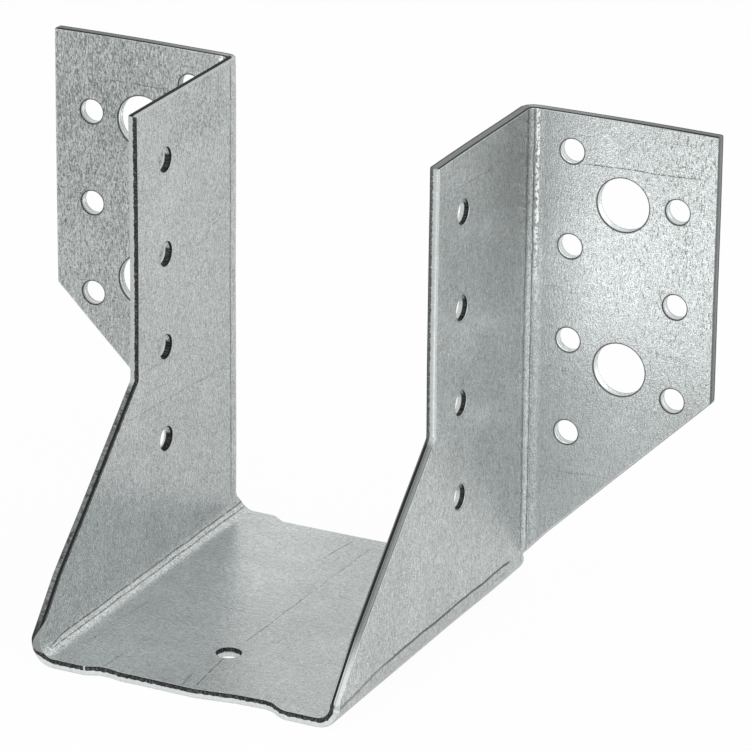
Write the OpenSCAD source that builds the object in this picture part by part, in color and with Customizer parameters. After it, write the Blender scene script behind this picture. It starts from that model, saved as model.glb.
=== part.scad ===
// Joist hanger, folded from one blank of galvanised sheet.
// A seat carries the joist's end, two side walls hold it, and two flanges fold
// outwards from the walls' back edges to be nailed or bolted to the header beam.
// Frame: x = 0 on the centreline, y = 0 on the flanges' back faces, which lie on
// the header, z = 0 on the seat's top face. The joist comes in from -y.

/* [Sheet] */
// Thickness of the sheet
sheet_t = 2; // [1.5:0.25:3]
// Inside radius of the two folds between seat and walls
seat_bend_r = 3; // [1:0.5:5]
// Inside radius of the two folds between walls and flanges
header_bend_r = 1; // [0.5:0.5:3]

/* [Joist pocket] */
// Clear width between the walls
joist_w = 64; // [50:1:140]
// Height of the walls and flanges above the seat's top face
wall_h = 100; // [90:1:160]
// Depth of the walls along their upper part
wall_d = 44; // [40:0.5:60]
// Height at which the walls' front edges start to slope forward
slope_top_h = 44; // [25:1:60]
// Height at which the slope meets the seat's front end
slope_foot_h = 5.5; // [5:0.5:12]

/* [Seat] */
// Depth of the seat at its ears
seat_d = 85; // [75:1:120]
// Length of each front ear, from the wall's inner face to the recessed edge
front_ear_w = 10; // [6:0.5:16]
// Length of each back ear, from the wall's inner face to the recessed edge
back_ear_w = 8; // [6:0.5:16]
// Width of the slanting step between an ear and the recessed edge
step_w = 3; // [1:0.5:5]
// Recess of the front edge beside the left ear
front_recess_left = 1.2; // [0.5:0.1:4]
// Recess of the front edge along its middle
front_recess_mid = 0.6; // [0.2:0.1:4]
// Recess of the front edge beside the right ear
front_recess_right = 2.4; // [0.5:0.1:4]
// Recess of the back edge between its ears
back_recess = 2.2; // [0.5:0.1:4]

/* [Header flanges] */
// Width of each flange, from the wall's outer face to the flange's outer edge
flange_w = 40.5; // [36:0.5:60]
// Length of the flange's upright outer edge
flange_edge_h = 56; // [53:1:70]
// Height at which the flange's sloping lower edge runs out at the wall
flange_foot_h = 2; // [1:0.5:6]

/* [Nail holes] */
// Diameter of a nail hole
nail_d = 5; // [3:0.25:6]
// Distance between the nail holes of a column
nail_pitch = 20; // [16:1:20]
// Nail holes in each flange's column beside the fold
inner_nails = 4; // [1:1:4]
// Nail holes in each flange's column beside the outer edge
outer_nails = 3; // [1:1:3]
// Nail holes in each side wall
wall_nails = 4; // [1:1:4]
// Distance from a wall's outer face to the flange's nail column beside the fold
inner_nail_inset = 9; // [6:0.5:10]
// Distance of a flange's outer nail column from the flange's outer edge
outer_nail_inset = 8.5; // [6:0.5:10]
// Depth of the topmost nail hole beside the fold below the top edge
inner_nail_drop = 8; // [5:0.5:12]
// Depth of the topmost nail hole beside the outer edge below the top edge
outer_nail_drop = 17; // [10:0.5:19]
// Depth of a wall's topmost nail hole below the top edge
wall_nail_drop = 12.5; // [6:0.5:15]
// Distance of a wall's nail column behind the wall's upright front edge
wall_nail_inset = 11.5; // [7:0.5:20]
// Distance of the seat's nail hole behind the seat's front end
seat_nail_inset = 19; // [12:0.5:30]

/* [Bolt holes] */
// Diameter of a bolt hole
bolt_d = 11; // [9:0.5:13]
// Distance between the two bolt holes on each flange's middle line
bolt_pitch = 35; // [30:1:38]
// Depth of the upper bolt hole below the top edge
bolt_drop = 17.5; // [12:0.5:20]

/* [Hidden] */
$fn = 96;
// Overlap of a cutting body past the face that it cuts
over = 1;
// Distances from the centreline to the walls' inner faces, their outer faces
// and the flanges' outer edges
half_inner = joist_w / 2;
half_outer = half_inner + sheet_t;
half_total = half_outer + flange_w;
// Depth of a header fold, from the header's face to where the flat wall starts
fold_d = sheet_t + header_bend_r;
// Zinc grey of the sheet
zinc = [0.70, 0.73, 0.73];

// Outline of a trough with rounded bottom corners, open at the top
module trough(w, r, h) {
    translate([-w / 2, r]) square([w, h - r]);
    translate([r - w / 2, 0]) square([w - 2 * r, 2 * r]);
    for (side = [-1, 1]) translate([side * (w / 2 - r), r]) circle(r);
}

// Cross-section of the seat, its two folds and the walls, seen from the front
module channel_section() {
    difference() {
        translate([0, -sheet_t])
            trough(2 * half_outer, seat_bend_r + sheet_t, wall_h + sheet_t);
        trough(joist_w, seat_bend_r, wall_h + over);
    }
}

// Side view of the channel. Its back edge steps in over the height of the seat
// folds, up to where the header folds take over.
module side_outline() {
    polygon([
        [0, -sheet_t - over],
        [0, 0],
        [-fold_d, seat_bend_r],
        [-fold_d, wall_h + over],
        [-wall_d, wall_h + over],
        [-wall_d, slope_top_h],
        [-seat_d, slope_foot_h],
        [-seat_d, -sheet_t - over]
    ]);
}

// Plan of the shallow recess between the ears of the seat's front edge
module front_recess() {
    half = half_inner - front_ear_w;
    translate([0, -seat_d]) polygon([
        [-half, 0],
        [step_w - half, front_recess_left],
        [-half / 2, front_recess_mid],
        [0, front_recess_mid],
        [half / 2, front_recess_right],
        [half - step_w, front_recess_right],
        [half, 0],
        [half, -over],
        [-half, -over]
    ]);
}

// Plan of the shallow recess between the ears of the seat's back edge
module rear_recess() {
    half = half_inner - back_ear_w;
    polygon([
        [-half, over],
        [-half, 0],
        [step_w - half, -back_recess],
        [half - step_w, -back_recess],
        [half, 0],
        [half, over]
    ]);
}

// Seat and side walls, cut to their outlines
module channel() {
    difference() {
        intersection() {
            rotate([90, 0, 0]) linear_extrude(seat_d) channel_section();
            translate([-half_outer - over, 0, 0]) rotate([90, 0, 90])
                linear_extrude(2 * (half_outer + over)) side_outline();
        }
        translate([0, 0, -sheet_t - over]) linear_extrude(sheet_t + 2 * over) {
            front_recess();
            rear_recess();
        }
    }
}

// Plan of the right flange and the quarter ring of its fold
module flange_section() {
    translate([half_outer + header_bend_r, -sheet_t])
        square([flange_w - header_bend_r, sheet_t]);
    translate([half_outer + header_bend_r, -fold_d]) intersection() {
        difference() {
            circle(fold_d);
            circle(header_bend_r);
        }
        translate([-fold_d, 0]) square(fold_d);
    }
}

// Front view of the right flange, with its sloping lower edge
module flange_outline() {
    polygon([
        [half_inner, flange_foot_h],
        [half_inner, wall_h],
        [half_total, wall_h],
        [half_total, wall_h - flange_edge_h]
    ]);
}

// Right flange with its fold
module flange() {
    intersection() {
        linear_extrude(wall_h) flange_section();
        translate([0, over, 0]) rotate([90, 0, 0])
            linear_extrude(fold_d + 2 * over) flange_outline();
    }
}

// Column of equal holes, the topmost at the origin, through a sheet that
// reaches from there to y = -sheet_t
module hole_column(d, count, pitch) {
    for (i = [0 : count - 1])
        translate([0, over, -i * pitch]) rotate([90, 0, 0])
            cylinder(d = d, h = sheet_t + 2 * over);
}

// Nail and bolt holes of the right flange
module flange_holes() {
    translate([half_outer + inner_nail_inset, 0, wall_h - inner_nail_drop])
        hole_column(nail_d, inner_nails, nail_pitch);
    translate([half_total - outer_nail_inset, 0, wall_h - outer_nail_drop])
        hole_column(nail_d, outer_nails, nail_pitch);
    translate([(half_outer + half_total) / 2, 0, wall_h - bolt_drop])
        hole_column(bolt_d, 2, bolt_pitch);
}

// Nail holes of the right wall
module wall_holes() {
    translate([half_inner, wall_nail_inset - wall_d, wall_h - wall_nail_drop])
        rotate([0, 0, 90]) hole_column(nail_d, wall_nails, nail_pitch);
}

// Nail hole of the seat
module seat_hole() {
    translate([0, seat_nail_inset - seat_d, -sheet_t - over])
        cylinder(d = nail_d, h = sheet_t + 2 * over);
}

// The whole folded sheet
module hanger() {
    color(zinc) difference() {
        union() {
            channel();
            for (side = [0, 1]) mirror([side, 0, 0]) flange();
        }
        for (side = [0, 1]) mirror([side, 0, 0]) {
            flange_holes();
            wall_holes();
        }
        seat_hole();
    }
}

hanger();
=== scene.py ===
"""Looks of the joist hanger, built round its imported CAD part.

The visible sheet starts as the flat blank that comes off the punching press, with its holes and cut
edges. It is then folded to the CAD part's form. Lengths are in millimetres, up to the last step of
each object, which turns them into metres.

A point of the blank has three coordinates: a runs across the strip, from the seat's centreline up
the walls; b runs along the joist, from its end into the flanges; c runs through the sheet, from -1 on
the outer side to +1 on the side that faces the joist and the header.
"""

import math

import bpy
import numpy as np
from mathutils import Matrix, Quaternion, Vector
from mathutils.geometry import delaunay_2d_cdt


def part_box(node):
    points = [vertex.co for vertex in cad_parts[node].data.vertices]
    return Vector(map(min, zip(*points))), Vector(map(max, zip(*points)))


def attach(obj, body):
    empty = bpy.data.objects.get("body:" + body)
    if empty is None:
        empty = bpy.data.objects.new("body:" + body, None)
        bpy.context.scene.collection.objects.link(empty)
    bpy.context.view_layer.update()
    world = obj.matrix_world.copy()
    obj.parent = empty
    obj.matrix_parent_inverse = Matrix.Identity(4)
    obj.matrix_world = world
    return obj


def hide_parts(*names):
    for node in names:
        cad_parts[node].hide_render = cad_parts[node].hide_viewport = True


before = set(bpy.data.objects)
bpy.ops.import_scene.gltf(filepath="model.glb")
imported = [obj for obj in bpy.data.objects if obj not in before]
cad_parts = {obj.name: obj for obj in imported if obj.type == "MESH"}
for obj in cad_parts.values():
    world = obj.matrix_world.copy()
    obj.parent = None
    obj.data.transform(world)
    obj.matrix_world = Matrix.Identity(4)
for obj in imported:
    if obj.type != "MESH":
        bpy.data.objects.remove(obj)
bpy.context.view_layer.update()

MM = 0.001

# Sizes of the folded sheet
low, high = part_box("hanger")
SHEET = 2.0
HALF_SHEET = SHEET / 2
SEAT_DEPTH = -low.y / MM
WALL_TOP = high.z / MM
FLANGE_EDGE = high.x / MM
HALF_POCKET = 32.0
SEAT_FOLD = 3.0
HEADER_FOLD = 1.0
WALL_DEPTH = 44.0
SLOPE_TOP = 44.0
SLOPE_FOOT = 5.5
EAR_HEIGHT = 3.8
FOOT_SLOPE_TOP = 14.0
FLANGE_FOOT = 2.0
FLANGE_CORNER = 44.0
NAIL_R = 2.5
BOLT_R = 5.5
NAIL_PITCH = 20.0

# Folds, on the sheet's middle layer
SEAT_FOLD_MID = SEAT_FOLD + HALF_SHEET
HEADER_FOLD_MID = HEADER_FOLD + HALF_SHEET
WALL_MID = HALF_POCKET + HALF_SHEET
SEAT_FLAT = HALF_POCKET - SEAT_FOLD
WALL_START = SEAT_FLAT + SEAT_FOLD_MID * math.pi / 2
HEADER_FOLD_START = -SHEET - HEADER_FOLD
FLANGE_START = HEADER_FOLD_START + HEADER_FOLD_MID * math.pi / 2
FLANGE_INNER = WALL_MID + HEADER_FOLD_MID
FLANGE_REACH = FLANGE_EDGE - FLANGE_INNER


def up_wall(z):
    """Place across the strip of the height z on a wall or flange."""
    return WALL_START + z - SEAT_FOLD


def out_flange(x):
    """Place along the joist of the distance x from the centreline, on a flange."""
    return FLANGE_START + x - FLANGE_INNER


# Corner where the sloping front of a wall meets the seat's front edge
EAR = (up_wall(EAR_HEIGHT), -SEAT_DEPTH)

# Stretch across the strip over which a header fold dies out into the seat fold
SADDLE_LOW = WALL_START - 0.9
SADDLE_HIGH = WALL_START + 1.8

# Lines that the press tool leaves: two in each seat fold, one under it, and three along each header fold
SEAT_LINE_LOW, SEAT_LINE_HIGH = 32.05, 33.5
UNDER_LINE = 36.6
HEADER_LINE_FRONT, HEADER_LINE_BACK, HEADER_RIDGE = -3.1, -0.3, 0.75
# Rows of points that carry those lines, across the strip and along the joist
SEAT_MARKS = [31.8, 32.05, 32.3, 33.25, 33.5, 33.75, 36.3, 36.6, 36.9]
HEADER_MARKS = [-3.35, -3.1, -2.85, -0.55, -0.3, -0.05, 0.45, 0.75, 1.05]

# Holes: the top one of each row, and the distance of each row from the header or the centreline
WALL_NAILS_TOP, WALL_NAILS_FRONT = 87.5, -32.5
NEAR_NAILS_TOP, NEAR_NAILS_OUT = 92.0, 43.0
FAR_NAILS_TOP, FAR_NAILS_OUT = 83.0, 66.0
BOLTS_HEIGHTS, BOLTS_OUT = (82.5, 47.5), 54.25
SEAT_NAIL_FRONT = -66.0


def smooth(value, low, high):
    """0 below low, 1 above high, and a soft step between them."""
    t = np.clip((value - low) / (high - low), 0, 1)
    return t * t * (3 - 2 * t)


def fold(points):
    """Blank points (a, b, c) to the folded sheet's x, y and z."""
    a, b, c = points.T
    side = np.where(a < 0, -1.0, 1.0)
    a = np.abs(a)
    lift = np.clip((a - SEAT_FLAT) / SEAT_FOLD_MID, 0, math.pi / 2)
    up = np.maximum(a - WALL_START, 0)
    x = np.minimum(a, SEAT_FLAT) + (SEAT_FOLD_MID - c) * np.sin(lift)
    z = SEAT_FOLD - (SEAT_FOLD_MID - c) * np.cos(lift) + up
    turn = np.clip((b - HEADER_FOLD_START) / HEADER_FOLD_MID, 0, math.pi / 2)
    out = np.maximum(b - FLANGE_START, 0)
    share = smooth(a, SADDLE_LOW, SADDLE_HIGH) * (b > HEADER_FOLD_START)
    turned_x = FLANGE_INNER - (HEADER_FOLD_MID + c) * np.cos(turn) + out
    turned_y = HEADER_FOLD_START + (HEADER_FOLD_MID + c) * np.sin(turn)
    x = x + share * (turned_x - WALL_MID + c)
    y = b + share * (turned_y - b)
    return np.column_stack([side * x, y, z])


# Outline of the blank, from the seat's front edge round the right side to its back edge. The left side
# mirrors the right one.

def front_edge():
    """Points of the seat's front edge from the left ear to the right one, as (a, depth of recess)."""
    return [(-22, 0), (-19.2, 1.15), (-17.2, 1.2), (-14.5, 0.6), (2, 0.7), (10.5, 2.1),
            (16.5, 2.45), (18.4, 2.1), (20.4, 0.7), (22, 0)]


def flange_foot(x):
    """Height of a flange's sloping lower edge at the distance x from the centreline."""
    rise = (FLANGE_CORNER - FLANGE_FOOT) / (FLANGE_EDGE - HALF_POCKET)
    return FLANGE_FOOT + rise * (x - HALF_POCKET)


def bow(start, pull, end):
    """Points of a curve that leaves its start towards a third point and comes to its end from there."""
    start, pull, end = (np.array(point, float) for point in (start, pull, end))
    return [(1 - t) ** 2 * start + 2 * t * (1 - t) * pull + t ** 2 * end for t in np.linspace(0, 1, 6)[1:]]


def right_side():
    """Outline of the right wall and flange, from the seat's front ear to its back ear.

    The sloping front is steeper below FOOT_SLOPE_TOP, where it runs straight to the ear.
    """
    slope = (FOOT_SLOPE_TOP - SLOPE_FOOT) / (SLOPE_TOP - SLOPE_FOOT)
    line = [EAR,
            (up_wall(FOOT_SLOPE_TOP), -SEAT_DEPTH + slope * (SEAT_DEPTH - WALL_DEPTH)),
            (up_wall(SLOPE_TOP), -WALL_DEPTH),
            (up_wall(WALL_TOP), -WALL_DEPTH),
            (up_wall(WALL_TOP), out_flange(FLANGE_EDGE)),
            (up_wall(FLANGE_CORNER), out_flange(FLANGE_EDGE)),
            (up_wall(flange_foot(FLANGE_INNER + 4)), out_flange(FLANGE_INNER + 4))]
    foot = (up_wall(flange_foot(FLANGE_INNER) - 0.7), FLANGE_START)
    waist = (WALL_START + 0.2, -1.3)
    ear = (SEAT_FLAT + 2.6, 0)
    line += bow(foot, (WALL_START + 0.6, -1.0), waist) + bow(waist, (WALL_START - 1.2, 0), ear)
    return line


def back_edge():
    """Points of the seat's back edge, from the right ear to the left one."""
    return [(24, 0), (21, -2.2), (-21, -2.2), (-24, 0)]


def outline():
    """Corners of the whole blank, as one closed loop."""
    right = right_side()
    left = [(-a, b) for a, b in reversed(right)]
    front = [(a, deep - SEAT_DEPTH) for a, deep in front_edge()]
    return front + right + back_edge() + left


def rounded(points, radius):
    """The closed outline with each corner cut by a short arc."""
    points = np.array(points, float)
    result = []
    for before, corner, after in zip(np.roll(points, 1, 0), points, np.roll(points, -1, 0)):
        back, ahead = before - corner, after - corner
        reach = min(radius, 0.4 * np.linalg.norm(back), 0.4 * np.linalg.norm(ahead))
        start = corner + back / np.linalg.norm(back) * reach
        end = corner + ahead / np.linalg.norm(ahead) * reach
        for t in (0, 0.25, 0.5, 0.75, 1):
            result.append((1 - t) ** 2 * start + 2 * t * (1 - t) * corner + t ** 2 * end)
    return np.array(result)


def divided(points, longest):
    """The closed outline with its long edges cut into equal steps."""
    result = []
    for start, end in zip(points, np.roll(points, -1, 0)):
        steps = max(1, math.ceil(np.linalg.norm(end - start) / longest))
        result += [start + (end - start) * i / steps for i in range(steps)]
    return np.array(result)


def circle(a, b, radius, steps):
    """A hole's rim, run the other way round than the outline."""
    angle = -np.arange(steps) / steps * 2 * math.pi
    return np.column_stack([a + radius * np.cos(angle), b + radius * np.sin(angle)])


def hole_places():
    """Every hole as (a, b, radius)."""
    holes = [(0, SEAT_NAIL_FRONT, NAIL_R)]
    for side in (-1, 1):
        for i in range(4):
            drop = i * NAIL_PITCH
            holes.append((side * up_wall(WALL_NAILS_TOP - drop), WALL_NAILS_FRONT, NAIL_R))
            holes.append((side * up_wall(NEAR_NAILS_TOP - drop), out_flange(NEAR_NAILS_OUT), NAIL_R))
        for i in range(3):
            height = FAR_NAILS_TOP - i * NAIL_PITCH
            holes.append((side * up_wall(height), out_flange(FAR_NAILS_OUT), NAIL_R))
        for height in BOLTS_HEIGHTS:
            holes.append((side * up_wall(height), out_flange(BOLTS_OUT), BOLT_R))
    return holes


def rows(low, high, step):
    """Even places from low to high, about a step apart."""
    count = max(1, round((high - low) / step))
    return np.linspace(low, high, count + 1)


def grid_points(step, fold_steps):
    """Inner points of the blank, in rows that run along every fold."""
    seat_fold = np.linspace(SEAT_FLAT, WALL_START, fold_steps + 1)
    wall = rows(WALL_START, up_wall(WALL_TOP), step)[1:]
    side = np.unique(np.concatenate([seat_fold, wall, SEAT_MARKS]))
    across = np.concatenate([-side[::-1], rows(-SEAT_FLAT, SEAT_FLAT, step)[1:-1], side])
    header_fold = np.linspace(HEADER_FOLD_START, FLANGE_START, fold_steps + 1)
    along = np.concatenate([rows(-SEAT_DEPTH, HEADER_FOLD_START, step)[:-1], header_fold, HEADER_MARKS,
                            rows(FLANGE_START, out_flange(FLANGE_EDGE), step)[1:]])
    along = np.unique(along)
    a, b = np.meshgrid(across, along)
    return np.column_stack([a.ravel(), b.ravel()])


def inside(points, loops):
    """True for each point that lies in the sheet, by counting the edges beside it."""
    result = np.zeros(len(points), bool)
    for loop in loops:
        for (a0, b0), (a1, b1) in zip(loop, np.roll(loop, -1, 0)):
            if b0 == b1:
                continue
            between = (points[:, 1] < b0) != (points[:, 1] < b1)
            crossing = a0 + (points[:, 1] - b0) / (b1 - b0) * (a1 - a0)
            result ^= between & (points[:, 0] < crossing)
    return result


def edge_distance(points, loops):
    """Distance of each point to the nearest cut edge."""
    best = np.full(len(points), 1e9)
    for loop in loops:
        for start, end in zip(loop, np.roll(loop, -1, 0)):
            run = end - start
            t = np.clip((points - start) @ run / (run @ run), 0, 1)
            best = np.minimum(best, np.linalg.norm(points - start - t[:, None] * run, axis=1))
    return best


def inward(loop):
    """Direction into the sheet at each point of a loop, longer at corners so that edges stay parallel."""
    before = loop - np.roll(loop, 1, 0)
    after = np.roll(loop, -1, 0) - loop
    normals = []
    for run in (before, after):
        run = run / np.linalg.norm(run, axis=1)[:, None]
        normals.append(np.column_stack([-run[:, 1], run[:, 0]]))
    middle = normals[0] + normals[1]
    middle /= np.linalg.norm(middle, axis=1)[:, None]
    return middle / np.maximum((middle * normals[0]).sum(1), 0.5)[:, None]


# Section of a cut edge, as (distance in from the outline, c), from the joist's side to the outer side.
# The press leaves a torn zone with a fine burr on one side and a smooth one with a rolled rim on the other.
CUT_SECTION = [(0.22, 1.0), (0.12, 1.0), (0.05, 0.97), (0.03, 0.85), (0.05, 0.45), (0.03, 0.1),
               (0.0, 0.0), (0.0, -0.64), (0.03, -0.81), (0.12, -0.93), (0.26, -1.0), (0.42, -1.0)]
# Rings of that section that lie on the rims of the two faces, which carry a painted highlight along the
# outline and painted shadow round the holes
RIM_LINE_DEPTHS = (0.12, 0.26)


# How far the middle of a flange lies behind the line from its fold to its edge
FLANGE_BOW = 0.35

# Waves of the rolled sheet, each as its length, direction, shift and height
SHEET_WAVES = [(61, 0.4, 0.3, 0.05), (37, 1.9, 1.7, 0.035), (23, 2.6, 4.1, 0.018), (17, 0.9, 2.2, 0.010),
               (48, 1.2, 5.0, 0.04)]


def waves(a, b):
    """Gentle unevenness of the sheet, in millimetres."""
    total = np.zeros_like(a)
    for length, turn, shift, height in SHEET_WAVES:
        total += height * np.sin((a * math.cos(turn) + b * math.sin(turn)) * 2 * math.pi / length + shift)
    across_flange = np.clip((b - FLANGE_START) / FLANGE_REACH, 0, 1)
    above_fold = smooth(np.abs(a), WALL_START, WALL_START + 10)
    return total + FLANGE_BOW * np.sin(math.pi * across_flange) * above_fold


def ridge(place, middle, half_width):
    """1 on the middle line, falling to 0 on both sides of it."""
    return np.clip(1 - np.abs(place - middle) / half_width, 0, 1)


def press_marks(a, b, c):
    """Depth of the press tool's marks beside the folds, in millimetres, positive into the sheet."""
    across = np.abs(a)
    inner, outer = c > 0.99, c < -0.99
    seat_fold = 0.05 * ridge(across, SEAT_LINE_HIGH, 0.25) + 0.05 * ridge(across, SEAT_LINE_LOW, 0.25)
    seat_fold = seat_fold * smooth(b, -82, -78)
    underside = 0.07 * ridge(across, UNDER_LINE, 0.3) * smooth(b, -84, -70) * smooth(b, -8, -11)
    header_fold = 0.06 * ridge(b, HEADER_LINE_FRONT, 0.25) + 0.06 * ridge(b, HEADER_LINE_BACK, 0.25)
    header_fold = header_fold - 0.03 * ridge(b, HEADER_RIDGE, 0.3)
    header_fold = header_fold * smooth(across, WALL_START + 2, WALL_START + 4)
    return inner * seat_fold + outer * (underside + header_fold)


# Radius of the blank's corners
CORNER_RADIUS = 0.5
# Fineness of the mesh: the longest steps along the outline and on the faces, how far the faces' points keep
# from the edges, and the number of steps across a fold and round a hole
OUTLINE_STEP = 1.0
FACE_STEP = 1.6
CLEAR_OF_EDGE = 0.62
FOLD_STEPS = 10
NAIL_STEPS, BOLT_STEPS = 56, 88


def sheet_loops():
    """The blank's outline, and then each hole's rim."""
    loops = [divided(rounded(outline(), CORNER_RADIUS), OUTLINE_STEP)]
    for a, b, radius in hole_places():
        loops.append(circle(a, b, radius, NAIL_STEPS if radius == NAIL_R else BOLT_STEPS))
    return loops


def face_points(loops):
    """Points of the blank's faces that keep clear of its edges."""
    points = grid_points(FACE_STEP, FOLD_STEPS)
    points = points[inside(points, loops)]
    return points[edge_distance(points, loops) > CLEAR_OF_EDGE]


def next_numbers(loops):
    """The number of the next point on the same loop, for each point of all loops in turn."""
    result, first = [], 0
    for loop in loops:
        result.append(np.roll(np.arange(len(loop)), -1) + first)
        first += len(loop)
    return np.concatenate(result)


def face_triangles(flat, after, loops):
    """Triangles between the points of a face, all run the same way round, with none in the holes."""
    edges = [(i, int(j)) for i, j in enumerate(after)]
    found = delaunay_2d_cdt([Vector(point) for point in flat], edges, [], 0, 1e-7)
    source = np.array([numbers[0] for numbers in found[3]])
    triangles = source[np.array(found[2])]
    triangles = triangles[inside(flat[triangles].mean(1), loops)]
    run = flat[triangles[:, 1]] - flat[triangles[:, 0]]
    rise = flat[triangles[:, 2]] - flat[triangles[:, 0]]
    clockwise = run[:, 0] * rise[:, 1] - run[:, 1] * rise[:, 0] < 0
    triangles[clockwise] = triangles[clockwise][:, ::-1]
    return triangles


def sheet_points(loops, inner):
    """Every point on the blank, and at each one whether it is cut, whether it lies on a painted rim line,
    and whether it is on a hole's edge.
    """
    rim = np.concatenate(loops)
    rim_in = np.concatenate([inward(loop) for loop in loops])
    in_hole = np.arange(len(rim)) >= len(loops[0])
    blank, marks = [], []
    for depth, level in CUT_SECTION:
        level_there = np.full(len(rim), level)
        cut = np.full(len(rim), abs(level) < 1)
        rim_line = np.full(len(rim), depth in RIM_LINE_DEPTHS)
        blank.append(np.column_stack([rim + rim_in * depth, level_there]))
        marks.append(np.column_stack([cut, rim_line, in_hole]))
    for level in (1.0, -1.0):
        blank.append(np.column_stack([inner, np.full(len(inner), level)]))
        marks.append(np.zeros((len(inner), 3)))
    return np.concatenate(blank), np.concatenate(marks).astype(float)


def sheet_faces(triangles, after, inner_count):
    """Faces of the sheet: the joist's side, the outer side, and the cut edges between them."""
    count, rings = len(after), len(CUT_SECTION)
    on_rim = triangles < count
    last_ring = (rings - 1) * count
    top = np.where(on_rim, triangles, triangles + last_ring)
    bottom = triangles + last_ring + np.where(on_rim, 0, inner_count)
    faces = [tuple(tri) for tri in top.tolist()] + [tuple(tri[::-1]) for tri in bottom.tolist()]
    for ring in range(rings - 1):
        upper, lower = ring * count, (ring + 1) * count
        faces += [(upper + i, lower + i, lower + int(j), upper + int(j)) for i, j in enumerate(after)]
    return faces


def shaped(blank):
    """The blank's points with the sheet's unevenness and the press marks."""
    a, b, c = blank.T
    result = blank.copy()
    result[:, 2] += (waves(a, b) - np.sign(c) * press_marks(a, b, c)) / HALF_SHEET
    return result


def build_sheet():
    """The folded sheet, whose points keep their places on the blank for the material."""
    loops = sheet_loops()
    inner = face_points(loops)
    after = next_numbers(loops)
    triangles = face_triangles(np.concatenate(loops + [inner]), after, loops)
    blank, marks = sheet_points(loops, inner)
    mesh = bpy.data.meshes.new("hanger_sheet")
    mesh.from_pydata((fold(shaped(blank)) * MM).tolist(), [], sheet_faces(triangles, after, len(inner)))
    mesh.attributes.new("blank", "FLOAT_VECTOR", "POINT").data.foreach_set("vector", blank.ravel())
    for name, values in zip(("cut", "rim", "hole"), marks.T):
        mesh.attributes.new(name, "FLOAT", "POINT").data.foreach_set("value", values.copy())
    mesh.validate()
    mesh.shade_smooth()
    sheet = bpy.data.objects.new("hanger_sheet", mesh)
    bpy.context.scene.collection.objects.link(sheet)
    return sheet


class Graph:
    """Short calls that add nodes to one material or world."""

    def __init__(self, owner):
        owner.use_nodes = True
        self.nodes = owner.node_tree.nodes
        self.links = owner.node_tree.links

    def feed(self, socket, value):
        """Link an output to a socket, or set a plain value on it."""
        if isinstance(value, bpy.types.NodeSocket):
            self.links.new(value, socket)
        else:
            socket.default_value = value

    def math(self, operation, *values):
        """Result of a sum on numbers and outputs."""
        node = self.nodes.new("ShaderNodeMath")
        node.operation = operation
        for socket, value in zip(node.inputs, values):
            self.feed(socket, value)
        return node.outputs[0]

    def step(self, value, low, high):
        """Soft step from 0 at low to 1 at high."""
        node = self.nodes.new("ShaderNodeMapRange")
        node.interpolation_type = "SMOOTHSTEP"
        self.feed(node.inputs["Value"], value)
        self.feed(node.inputs["From Min"], low)
        self.feed(node.inputs["From Max"], high)
        return node.outputs[0]

    def less(self, value):
        """1 minus the value."""
        return self.math("SUBTRACT", 1.0, value)

    def add(self, first, second):
        """Sum of two values."""
        return self.math("ADD", first, second)

    def scaled(self, value, factor, added):
        """The value times a factor, and something added to that."""
        return self.math("MULTIPLY_ADD", value, factor, added)

    def band(self, value, low, high, soft):
        """1 between low and high, with a soft step at each end."""
        return self.math("MULTIPLY", self.step(value, low - soft, low), self.step(value, high + soft, high))

    def line(self, value, middle, half_width, strength=1.0, core=0.0):
        """A line of some strength, full within its core and falling to 0 at its half width."""
        away = self.math("ABSOLUTE", self.math("SUBTRACT", value, middle))
        mark = self.step(away, half_width, core)
        mark.node.inputs["To Max"].default_value = strength
        return mark

    def mix(self, share, first, second):
        """A number between two others."""
        node = self.nodes.new("ShaderNodeMix")
        for socket, value in zip((node.inputs[0], node.inputs[2], node.inputs[3]), (share, first, second)):
            self.feed(socket, value)
        return node.outputs[0]

    def around(self, noise, middle, swing):
        """Noise from 0 to 1 turned into a number that swings both ways from a middle one."""
        return self.math("MULTIPLY_ADD", noise, 2 * swing, middle - swing)

    def attribute(self, name, output):
        """An attribute of the mesh, as the output of that name."""
        node = self.nodes.new("ShaderNodeAttribute")
        node.attribute_name = name
        return node.outputs[output]

    def times(self, *values):
        """Product of all the values."""
        result = values[0]
        for value in values[1:]:
            result = self.math("MULTIPLY", result, value)
        return result

    def largest(self, *values):
        """The largest of all the values."""
        result = values[0]
        for value in values[1:]:
            result = self.math("MAXIMUM", result, value)
        return result

    def noise(self, place, sizes, detail=2.0, shift=0.0):
        """Noise from 0 to 1 whose blobs have the given sizes along a, b and c."""
        mapping = self.nodes.new("ShaderNodeMapping")
        mapping.inputs["Location"].default_value = (shift, shift * 0.7, 0)
        mapping.inputs["Scale"].default_value = [1 / size for size in sizes]
        self.links.new(place, mapping.inputs["Vector"])
        node = self.nodes.new("ShaderNodeTexNoise")
        node.inputs["Scale"].default_value = 1.0
        node.inputs["Detail"].default_value = detail
        self.links.new(mapping.outputs[0], node.inputs["Vector"])
        return node.outputs["Fac"]


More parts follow.
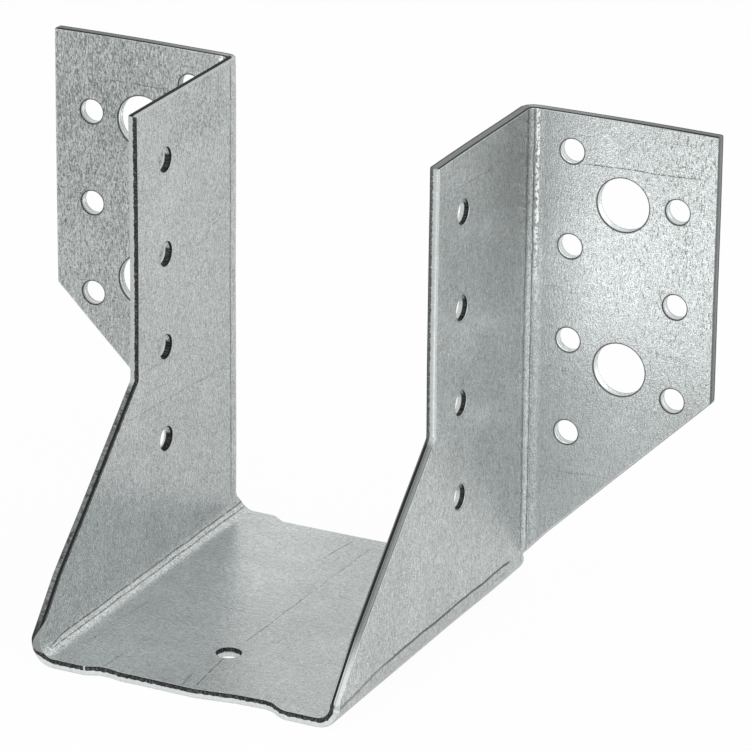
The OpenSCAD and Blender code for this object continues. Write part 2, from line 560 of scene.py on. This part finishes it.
# Long scratches, each from (a, b) to (a, b) on the blank, with the face it lies on (+1 joist's side,
# -1 outer side), its half width and its strength
SCRATCHES = [
    ((1.9, -84.5), (0.1, -67.5), 1, 0.22, 1.0),
    ((0.4, -63.8), (1.2, -30.0), 1, 0.17, 0.9),
    ((1.2, -29.0), (1.7, -4.0), 1, 0.18, 0.8),
    ((-27.3, -76.0), (-26.0, -50.0), 1, 0.12, 0.6),
    ((-3.2, -4.0), (-4.9, -17.0), 1, 0.20, 0.9),
    ((-12.0, -79.0), (-8.5, -38.0), 1, 0.08, 0.4),
    ((9.0, -70.0), (10.5, -30.0), 1, 0.07, 0.3),
    ((19.0, -60.0), (20.2, -12.0), 1, 0.08, 0.3),
    ((-18.9, -83.5), (-17.9, -75.0), 1, 0.17, 0.9),
    ((-17.9, -74.0), (-16.3, -56.0), 1, 0.10, 0.6),
    ((-0.8, -84.2), (-1.6, -78.0), 1, 0.50, 0.6),
    ((-30.9, -80.0), (-30.5, -78.4), 1, 0.30, 1.0),
    ((-32.4, -78.8), (-32.0, -76.2), 1, 0.22, 0.8),
    ((-29.6, -3.6), (-29.2, -1.4), 1, 0.25, 0.8),
    ((-69.6, -55.0), (-66.6, -5.0), 1, 0.13, 0.8),
    ((-72.6, -50.0), (-70.8, -12.0), 1, 0.09, 0.4),
    ((-77.5, -46.0), (-75.6, -8.0), 1, 0.11, 0.5),
    ((-64.0, -58.0), (-62.0, -30.0), 1, 0.08, 0.35),
    ((125.8, -38.0), (124.6, -18.0), -1, 0.15, 0.8),
    ((112.0, -42.0), (111.0, -14.0), -1, 0.08, 0.3),
    ((122.1, 9.0), (122.9, 38.0), -1, 0.17, 1.0),
    ((-122.7, 29.0), (-122.9, 13.0), -1, 0.15, 0.9),
    ((-96.0, 36.0), (-96.6, 20.0), -1, 0.10, 0.4),
    ((60.0, -63.0), (64.5, -40.0), -1, 0.09, 0.5),
]

# Grey of the zinc, and its share that mirrors as metal. The rest is the dull oxide on it.
ZINC = (0.492, 0.522, 0.517)
ZINC_METAL = 0.65
# Depth of the grain's relief, in millimetres
RELIEF = 0.05


class Zinc:
    """The sheet's material. Each method gives a number that depends on the place on the blank."""

    def __init__(self, graph):
        self.graph = graph
        self.point = graph.attribute("blank", "Vector")
        axes = graph.nodes.new("ShaderNodeSeparateXYZ")
        graph.links.new(self.point, axes.inputs[0])
        self.a, self.b, self.c = axes.outputs
        self.across = graph.math("ABSOLUTE", self.a)
        self.height = graph.math("SUBTRACT", self.across, WALL_START - SEAT_FOLD)
        self.out = graph.math("SUBTRACT", self.b, FLANGE_START)
        # Masks of the two halves, the two faces, the flanges, the cut edges, their worn rims and the holes
        self.right = graph.step(self.a, -1.0, 1.0)
        self.left = graph.less(self.right)
        self.inner = graph.step(self.c, 0.9, 0.99)
        self.outer = graph.step(self.c, -0.9, -0.99)
        self.flange = graph.times(graph.step(self.out, -0.5, 0.8), graph.step(self.height, 1.0, 3.0))
        self.cut = graph.step(graph.attribute("cut", "Fac"), 0.3, 0.7)
        self.rim = graph.attribute("rim", "Fac")
        self.hole = graph.attribute("hole", "Fac")
        # Height above the nearest nail hole of a wall
        between_nails = WALL_NAILS_TOP - 3.5 * NAIL_PITCH
        share = graph.math("FRACT", graph.scaled(self.height, 1 / NAIL_PITCH, -between_nails / NAIL_PITCH))
        self.over_nail = graph.scaled(share, NAIL_PITCH, -NAIL_PITCH / 2)
        # Noises: rolling grain, fine grain, wide clouds, patches, and the unevenness of drawn lines
        self.grain = graph.noise(self.point, (1.0, 0.27, 0.4), 2.0)
        self.fine = graph.noise(self.point, (0.27, 0.24, 0.4), 1.0, 31.0)
        self.cloud = graph.noise(self.point, (15, 10, 1.3), 1.0, 7.0)
        self.patch = graph.noise(self.point, (4.5, 3.0, 0.9), 2.0, 19.0)
        self.jitter = graph.noise(self.point, (2.5, 1.6, 1.0), 2.0, 71.0)
        self.breaks = graph.step(self.jitter, 0.34, 0.46)
        wavy = graph.around(graph.noise(self.point, (30, 7, 3), 2.0, 87.0), 0.0, 0.35)
        self.wavy = graph.add(wavy, graph.around(self.fine, 0.0, 0.25))
        self.header_fold = graph.times(self.outer, graph.step(self.height, 4.0, 7.0),
                                       graph.band(self.b, -4.0, 1.2, 1.2))

    def spots(self):
        """Short dark streaks where the zinc has dulled, thickest high on the flanges. On the left flange
        they are denser, partly as painted shade.
        """
        graph = self.graph
        streaks = graph.noise(self.point, (0.8, 0.22, 0.4), 2.0, 53.0)
        upper = graph.step(self.height, 15.0, 95.0)
        right = graph.times(graph.step(self.out, 2.0, 36.0), graph.scaled(upper, 0.7, 0.2))
        # The left flange gets more streaks: partly its own dulling, and partly painted shade that makes it
        # darker than the right one.
        left = graph.times(graph.scaled(upper, 1.05, 0.45), graph.step(self.out, -4.0, 22.0))
        spotting_and_shade = graph.times(self.flange, graph.mix(self.right, left, right))
        wall_patch = graph.times(self.left, self.inner, graph.band(self.height, 90.0, 100.0, 8.0),
                                 graph.band(self.b, -26.0, -10.0, 8.0), 1.1)
        spotting_and_shade = graph.add(graph.largest(spotting_and_shade, wall_patch), graph.around(self.patch, 0.0, 0.75))
        level = graph.scaled(spotting_and_shade, -0.12, 0.66)
        return graph.step(streaks, level, graph.add(level, 0.08))

    def scratches(self):
        """Long scratches, with breaks in them."""
        graph = self.graph
        wavy_a = graph.add(self.a, self.wavy)
        result = 0.0
        for (a0, b0), (a1, b1), face, half_width, strength in SCRATCHES:
            slope = (a1 - a0) / (b1 - b0)
            half_length = abs(b1 - b0) / 2
            mark = graph.line(wavy_a, graph.scaled(self.b, slope, a0 - slope * b0), half_width, strength)
            reach = graph.line(self.b, (b0 + b1) / 2, half_length, 1.0, half_length * 0.7)
            mark = graph.times(mark, reach, self.inner if face > 0 else self.outer)
            result = graph.largest(result, mark)
        return graph.times(result, self.breaks)

    def hairlines(self):
        """Faint dark hairs along the joist's direction, in some patches."""
        graph = self.graph
        hair = graph.noise(self.point, (0.16, 22.0, 0.5), 0.0, 43.0)
        return graph.times(graph.step(hair, 0.68, 0.76), graph.step(self.patch, 0.48, 0.60), 0.5)

    def seat_fold_lines(self):
        """Dark lines of the press tool in the hollow of each seat fold. They close up at the front end."""
        graph = self.graph
        closing = graph.times(graph.step(self.b, -76.0, -82.0), 0.8)
        across = graph.add(self.across, self.wavy)
        lines = graph.largest(graph.line(graph.add(across, closing), SEAT_LINE_HIGH, 0.36),
                              graph.line(across, 32.0, 0.30))
        breaks = graph.step(self.jitter, 0.28, 0.42)
        return graph.times(lines, self.inner, graph.step(self.b, -83.0, -80.0), breaks)

    def under_line(self):
        """Dark line on the outer side, where the wall leaves the press tool above the seat fold."""
        graph = self.graph
        dip = graph.times(graph.step(self.b, -66.0, -84.0), 1.5)
        across = graph.add(graph.add(self.across, self.wavy), dip)
        weaker = graph.scaled(graph.step(self.b, -60.0, -67.0), -0.35, 1.0)
        reach = graph.band(self.b, -84.0, -9.0, 2.0)
        return graph.times(self.outer, weaker, reach, graph.line(across, UNDER_LINE, 0.46, 1.0, 0.1))

    def header_fold_lines(self):
        """Dark lines along both ends of each header fold, and one behind it on the joist's side."""
        graph = self.graph
        b = graph.scaled(self.jitter, 0.5, graph.math("SUBTRACT", self.b, 0.25))
        lines = graph.largest(graph.line(b, HEADER_LINE_FRONT, 0.34),
                              graph.line(b, HEADER_LINE_BACK, 0.32, 0.9))
        breaks = graph.step(self.jitter, 0.30, 0.44)
        front = graph.times(self.outer, graph.step(self.height, 4.0, 7.0), breaks, lines)
        above_seat = graph.step(self.height, 3.0, 8.0)
        back = graph.times(self.inner, self.breaks, above_seat, graph.line(b, -4.7, 0.40, 0.8))
        return graph.largest(front, back)

    def dark_marks(self):
        """All dark lines of the rolled faces, with painted shadow on the rims round the holes."""
        hole_rim_shadow = self.graph.times(self.rim, self.hole, 0.85)
        return self.graph.largest(self.scratches(), self.hairlines(), self.seat_fold_lines(),
                                  self.under_line(), self.header_fold_lines(), hole_rim_shadow)

    def highlights_and_pale_patches(self):
        """Lighter marks: painted highlights along the seat and header folds and along the outline's rims,
        and lighter patches beside the right wall's nail holes.
        """
        graph = self.graph
        speckle = graph.step(self.fine, 0.40, 0.62)
        # Painted highlight along the inner bend of each seat fold
        seat = graph.times(self.inner, graph.line(self.across, 31.4, 2.8, 0.30, 0.6), speckle)
        b = graph.scaled(self.jitter, 0.5, graph.math("SUBTRACT", self.b, 0.25))
        dots = graph.step(graph.noise(self.point, (0.8, 0.6, 1.0), 1.0, 61.0), 0.45, 0.52)
        high_up = graph.step(self.height, 50.0, 85.0)
        # Painted highlights on the outer side of each header fold: a bright dotted line on its ridge, and
        # mottled light round it
        dotted_fold_highlight = graph.times(self.outer, high_up, graph.line(b, HEADER_RIDGE, 0.55, 2.3, 0.25), dots)
        mottled_fold_highlight = graph.times(self.header_fold, speckle, 0.28)
        # Painted highlight along the outline's rims
        rim_highlight = graph.times(self.rim, graph.less(self.hole), 0.42)
        beside_nails = graph.times(self.right, self.outer, graph.line(self.b, -21.6, 5.0),
                                   graph.line(self.over_nail, -6.0, 4.0, 0.12),
                                   graph.step(self.height, 20.0, 25.0))
        return graph.largest(seat, dotted_fold_highlight, mottled_fold_highlight, rim_highlight, beside_nails)

    def painted_shade_and_dark_band(self):
        """Share of tone left by a patch of painted shade high on the right wall, and by the slightly darker
        band under each wall.
        """
        graph = self.graph
        # Painted shade on the right wall's outer side, darker towards its top and its back
        patch = graph.times(self.right, self.outer, graph.step(self.height, 48.0, 94.0),
                            graph.step(self.b, -38.0, -8.0), graph.step(self.out, 3.0, -2.0), 0.42)
        under = graph.times(self.outer, graph.line(self.across, 33.0, 3.4, 0.08, 2.6))
        return graph.less(graph.largest(patch, under))

    def surface_tone(self, spots, dark_marks):
        """Brightness of the rolled faces, about 1 on clean zinc."""
        graph = self.graph
        seat = graph.step(self.height, 0.0, -4.0)
        calm = graph.largest(graph.times(self.flange, self.right, 0.56), graph.times(seat, 0.28))
        # Painted shade: the seat is a little lighter on the left and darker towards the right.
        seat_shade = graph.mix(seat, 1.0, graph.scaled(graph.step(self.a, -20.0, 8.0), -0.17, 1.08))
        grain = graph.add(graph.around(self.grain, 0.0, 0.58), graph.around(self.fine, 0.0, 0.84))
        tone = graph.scaled(grain, graph.less(calm), 1.0)
        tone = graph.times(tone, seat_shade)
        tone = graph.times(tone, graph.around(self.cloud, 1.0, 0.12), graph.around(self.patch, 1.0, 0.12))
        tone = graph.times(tone, graph.scaled(spots, -0.50, 1.03), self.painted_shade_and_dark_band())
        tone = graph.times(tone, graph.scaled(dark_marks, -0.80, 1.0))
        return graph.add(tone, self.highlights_and_pale_patches())

    def top_edge_tone(self):
        """Cut edges along the top: half dark and half bright on the left wall, else grey between lines."""
        graph = self.graph
        left = graph.mix(graph.step(self.c, 0.10, 0.30), 0.03, 1.0)
        sides = graph.largest(graph.line(self.c, 0.85, 0.30), graph.line(self.c, -0.85, 0.30))
        right = graph.scaled(sides, -0.30, 0.36)
        flange = graph.scaled(sides, -0.46, 0.52)
        wall = graph.mix(self.right, left, right)
        return graph.mix(graph.step(self.out, -2.5, -0.5), wall, flange)

    def wall_hole_tone(self, ribs):
        """Inside of the nail holes in the walls: dark, partly the bare edge's own grey and partly painted
        shade, with painted highlights at the upper end and on the far rim.
        """
        graph = self.graph
        side = graph.scaled(self.right, 2.0, -1.0)
        depth = graph.scaled(graph.times(self.c, side), 0.5, 0.5)
        start = graph.times(self.right, 0.9)
        upper_end = graph.step(graph.math("SUBTRACT", self.over_nail, start), 0.0, 0.8)
        lit_top = graph.times(graph.step(depth, 0.22, 0.34), upper_end)
        far_rim = graph.mix(self.right, graph.step(depth, 0.70, 0.78), graph.step(depth, 0.54, 0.62))
        near_rim = graph.times(self.right, graph.step(depth, 0.09, 0.04))
        lit = graph.largest(lit_top, far_rim, near_rim)
        inside = graph.times(graph.step(depth, 0.12, 0.26), graph.step(ribs, 0.45, 0.62), 0.22)
        return graph.mix(lit, graph.add(inside, 0.02), 1.25)

    def ear_facet(self):
        """The worn facet at the left front corner, which narrows the dark edge to a point."""
        graph = self.graph
        above = graph.math("SUBTRACT", self.c, graph.scaled(self.height, 0.408, -1.857))
        before = graph.scaled(self.c, 1.089, self.height)
        return graph.times(self.left, graph.step(self.b, -70.0, -75.0), graph.step(above, -0.05, 0.10),
                           graph.step(before, 0.95, 1.10))

    def flange_cut_tone(self, tone, ribs):
        """Flange holes, bright inside between dark rims, and the grey ends of the flanges."""
        graph = self.graph
        rims = graph.largest(*[graph.line(self.c, face, 0.25, 1.0, 0.10) for face in (1.0, -1.0)])
        bright = graph.mix(rims, graph.scaled(ribs, 0.6, 1.3), 0.2)
        tone = graph.mix(graph.times(self.flange, self.hole), tone, bright)
        end = graph.mix(graph.line(self.c, 1.0, 0.5, 1.0, 0.2), 0.62, 0.12)
        return graph.mix(graph.step(self.out, FLANGE_REACH - 0.3, FLANGE_REACH - 0.15), tone, end)

    def slope_tone(self, pits, ribs):
        """Cut edges of the walls' sloping fronts: grey between black lines, and darker on the left."""
        graph = self.graph
        left_black = graph.largest(graph.line(self.c, 0.42, 0.42, 1.0, 0.22),
                                   graph.line(self.c, 0.92, 0.14, 0.7),
                                   graph.line(self.c, -0.92, 0.18, 0.8),
                                   graph.step(self.height, 10.0, 2.0))
        left_grey = graph.scaled(pits, 0.30, graph.scaled(self.breaks, 0.16, 0.14))
        left = graph.mix(left_black, left_grey, 0.04)
        black = graph.largest(graph.line(self.c, 0.48, 0.36, 1.0, 0.20),
                              graph.line(self.c, 0.94, 0.12, 0.8),
                              graph.line(self.c, -0.12, 0.16, 0.5),
                              graph.line(self.c, -0.88, 0.14, 0.4))
        foot = graph.step(self.height, 16.0, 7.0)
        grey = graph.scaled(ribs, 0.3, graph.scaled(foot, 0.95, 0.34))
        right = graph.mix(black, grey, 0.04)
        return graph.mix(self.right, left, right)

    def nicks(self):
        """Bright nicks across the cut edges, on the seat's front and at the foot of the right wall."""
        graph = self.graph
        seat_nick = graph.line(self.a, -22.1, 0.30, 1.6)
        foot_nick = graph.times(graph.line(self.a, 34.6, 0.9, 1.7), graph.step(self.c, 0.25, 0.1))
        return graph.times(graph.largest(seat_nick, foot_nick), graph.step(self.b, -83.0, -84.0))

    def cut_look(self):
        """Brightness of the cut edges, and their relief.

        The press leaves a smooth zone on the outer side and a torn dark one on the joist's side. At the
        left front corner the torn zone takes up the whole edge, but for the worn facet on it.
        """
        graph = self.graph
        ragged = graph.noise(self.point, (0.9, 0.9, 9.0), 2.0, 11.0)
        ribs = graph.noise(self.point, (0.14, 0.14, 4.0), 1.0, 5.0)
        pits = graph.step(graph.noise(self.point, (0.36, 0.36, 0.8), 2.0, 23.0), 0.42, 0.75)
        border = graph.scaled(ragged, 0.6, -0.26)
        wall_front = graph.times(self.right, graph.step(self.height, SLOPE_TOP - 3, SLOPE_TOP))
        border = graph.scaled(wall_front, 0.22, border)
        left_corner = graph.times(self.left, graph.step(self.b, -70.0, -75.0),
                                  graph.step(self.height, -1.0, 2.1))
        border = graph.mix(left_corner, border, -1.1)
        torn = graph.step(graph.math("SUBTRACT", self.c, border), -0.04, 0.08)
        seat = graph.step(self.height, 4.0, 0.0)
        # On the seat's cut edges the smooth zone is lighter: a painted reflection of the white floor.
        smooth_tone = graph.scaled(seat, 0.50, graph.scaled(ribs, 0.8, 0.66))
        lower_rim = graph.times(seat, graph.line(self.c, -0.93, 0.16))
        smooth_tone = graph.scaled(lower_rim, -0.85, smooth_tone)
        torn_tone = graph.scaled(wall_front, 0.16, graph.scaled(pits, 0.26, 0.06))
        torn_tone = graph.times(torn_tone, graph.less(graph.line(self.c, 0.95, 0.2, 0.8)))
        tone = graph.mix(torn, smooth_tone, torn_tone)
        slope = graph.times(graph.step(self.height, EAR_HEIGHT - 0.6, EAR_HEIGHT - 0.1),
                            graph.step(self.height, SLOPE_TOP, SLOPE_TOP - 1.5),
                            graph.step(self.b, -WALL_DEPTH + 1, -WALL_DEPTH))
        tone = graph.mix(slope, tone, self.slope_tone(pits, ribs))
        tone = graph.mix(self.ear_facet(), tone, 0.60)
        top = graph.step(self.height, WALL_TOP - 0.4, WALL_TOP - 0.1)
        tone = graph.mix(top, tone, self.top_edge_tone())
        reach = NAIL_R + 0.1
        nail_row = graph.band(self.b, WALL_NAILS_FRONT - reach, WALL_NAILS_FRONT + reach, 0.3)
        wall_hole = graph.times(nail_row, graph.step(self.height, WALL_TOP - 1, WALL_TOP - 3),
                                graph.step(self.height, 10.0, 12.0))
        tone = graph.mix(wall_hole, tone, self.wall_hole_tone(ribs))
        tone = self.flange_cut_tone(tone, ribs)
        tone = graph.largest(tone, self.nicks())
        relief = graph.mix(torn, graph.times(ribs, 0.8), graph.times(pits, 1.6))
        return tone, relief

    def surface_relief(self):
        """Grain of the rolled faces, coarser on the header folds."""
        graph = self.graph
        relief = graph.scaled(self.fine, 0.8, self.grain)
        return graph.scaled(graph.times(self.header_fold, self.jitter), 2.0, relief)


# The photographed flanges are bent a few degrees short of square. Their form here stays square, and only
# their shading leans by this slope, so that they mirror the same parts of the studio.
FLANGE_LEAN = 0.085


def zinc_material():
    """Galvanised sheet: satin zinc with rolling grain, and bare cut edges."""
    material = bpy.data.materials.new("galvanised_sheet")
    graph = Graph(material)
    shader = graph.nodes["Principled BSDF"]
    zinc = Zinc(graph)
    spots, dark_marks = zinc.spots(), zinc.dark_marks()
    cut_tone, cut_relief = zinc.cut_look()

    tone = graph.mix(zinc.cut, zinc.surface_tone(spots, dark_marks), cut_tone)
    tint = graph.nodes.new("ShaderNodeVectorMath")
    tint.operation = "SCALE"
    tint.inputs[0].default_value = ZINC
    graph.links.new(tone, tint.inputs["Scale"])
    graph.links.new(tint.outputs[0], shader.inputs["Base Color"])
    shader.inputs["Metallic"].default_value = ZINC_METAL

    rough = graph.scaled(zinc.cloud, 0.10, 0.14)
    rough = graph.scaled(graph.largest(spots, dark_marks), 0.18, rough)
    rough = graph.mix(zinc.cut, rough, graph.scaled(graph.step(cut_tone, 0.5, 0.2), 0.5, 0.26))
    graph.links.new(rough, shader.inputs["Roughness"])

    bump = graph.nodes.new("ShaderNodeBump")
    bump.inputs["Distance"].default_value = RELIEF * MM
    relief = graph.mix(zinc.cut, zinc.surface_relief(), cut_relief)
    lean = graph.times(zinc.flange, zinc.out, zinc.c, FLANGE_LEAN / RELIEF)
    graph.links.new(graph.add(relief, lean), bump.inputs["Height"])
    graph.links.new(bump.outputs[0], shader.inputs["Normal"])
    return material


# Share of plain white in the floor, to the camera and in the metal's reflections. The rest shows shadows.
FLOOR_WHITE_TO_CAMERA = 0.96
FLOOR_WHITE_IN_METAL = 0.45
FLOOR_METRES = 6
# Strength of the surroundings as a light. Camera and metal see them as plain white.
WORLD_LIGHT = 0.7


def build_floor():
    """A pale floor under the part, which keeps its shadow."""
    bpy.ops.mesh.primitive_plane_add(size=FLOOR_METRES, location=(0, 0, low.z))
    floor = bpy.context.object
    floor.name = "floor"
    material = bpy.data.materials.new("floor")
    graph = Graph(material)
    shader = graph.nodes["Principled BSDF"]
    shader.inputs["Base Color"].default_value = (0.92, 0.92, 0.92, 1)
    shader.inputs["Roughness"].default_value = 0.9
    glow = graph.nodes.new("ShaderNodeEmission")
    path = graph.nodes.new("ShaderNodeLightPath")
    seen = graph.times(path.outputs["Is Camera Ray"], FLOOR_WHITE_TO_CAMERA)
    mirrored = graph.times(path.outputs["Is Glossy Ray"], FLOOR_WHITE_IN_METAL)
    mix = graph.nodes.new("ShaderNodeMixShader")
    graph.links.new(graph.largest(seen, mirrored), mix.inputs[0])
    graph.links.new(shader.outputs[0], mix.inputs[1])
    graph.links.new(glow.outputs[0], mix.inputs[2])
    graph.links.new(mix.outputs[0], graph.nodes["Material Output"].inputs["Surface"])
    floor.data.materials.append(material)


def build_world():
    """White surroundings, dimmer as a light than as they look."""
    world = bpy.data.worlds.new("studio")
    bpy.context.scene.world = world
    graph = Graph(world)
    background = graph.nodes["Background"]
    background.inputs["Color"].default_value = (1, 1, 1, 1)
    path = graph.nodes.new("ShaderNodeLightPath")
    rays = ("Is Camera Ray", "Is Glossy Ray", "Is Transmission Ray")
    seen = graph.largest(*[path.outputs[name] for name in rays])
    graph.links.new(graph.mix(seen, WORLD_LIGHT, 1.0), background.inputs["Strength"])


# Softboxes that face the part's middle, each as its name, place, width and height, and watts
LIT_MIDDLE = (20, -30, 55)
SOFTBOXES = [("side_softbox", (750, -550, 350), (900, 900), 3.2),
             ("top_softbox", (50, -200, 950), (400, 400), 0.75)]
# The lit card that the right flange mirrors. It lies on the floor in front and faces up.
CARD_PLACE = (5.5, -198, 1)
CARD_SIZE = (52, 136)
CARD_POWER = 0.057
CARD_TURN = math.radians(-16)
FACE_UP = Quaternion((0, 1, 0, 0))


def add_softbox(name, place, turn, size, power):
    """A rectangular lamp, turned by a quaternion from facing down."""
    light = bpy.data.lights.new(name, "AREA")
    light.shape = "RECTANGLE"
    light.size, light.size_y = size[0] * MM, size[1] * MM
    light.energy = power
    holder = bpy.data.objects.new(name, light)
    holder.location = Vector(place) * MM
    holder.rotation_mode = "QUATERNION"
    holder.rotation_quaternion = turn
    bpy.context.scene.collection.objects.link(holder)


def build_lights():
    """A softbox at the right, a weaker one overhead, and a lit card on the floor in front."""
    for name, place, size, power in SOFTBOXES:
        turn = (Vector(LIT_MIDDLE) - Vector(place)).to_track_quat("-Z", "Y")
        add_softbox(name, place, turn, size, power)
    turn = Matrix.Rotation(CARD_TURN, 3, "Z").to_quaternion() @ FACE_UP
    add_softbox("floor_card", CARD_PLACE, turn, CARD_SIZE, CARD_POWER)


# Camera, as the photograph was taken: from the right and above, through a long lens
CAMERA_AIM = (15.9, -33.9, 50.55)
CAMERA_AZIMUTH = math.radians(26.26)
CAMERA_ELEVATION = math.radians(21.51)
CAMERA_ROLL = math.radians(0.544)
CAMERA_DISTANCE = 1068.2
CAMERA_LENS = 258.83
SENSOR_WIDTH = 36


def build_camera():
    """The camera, placed by its angles round the point that it aims at."""
    data = bpy.data.cameras.new("camera")
    data.lens = CAMERA_LENS
    data.sensor_width = SENSOR_WIDTH
    data.clip_start, data.clip_end = 0.05, 20
    camera = bpy.data.objects.new("camera", data)
    level = math.cos(CAMERA_ELEVATION)
    back = Vector((math.sin(CAMERA_AZIMUTH) * level, -math.cos(CAMERA_AZIMUTH) * level,
                   math.sin(CAMERA_ELEVATION)))
    turn = (-back).to_track_quat("-Z", "Y").to_matrix().to_4x4()
    place = Matrix.Translation((Vector(CAMERA_AIM) + back * CAMERA_DISTANCE) * MM)
    camera.matrix_world = place @ turn @ Matrix.Rotation(CAMERA_ROLL, 4, "Z")
    bpy.context.scene.collection.objects.link(camera)
    bpy.context.scene.camera = camera


sheet = build_sheet()
sheet.data.materials.append(zinc_material())
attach(sheet, "root")
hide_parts("hanger")
build_floor()
build_world()
build_lights()
build_camera()
bpy.context.scene.view_settings.view_transform = "Standard"
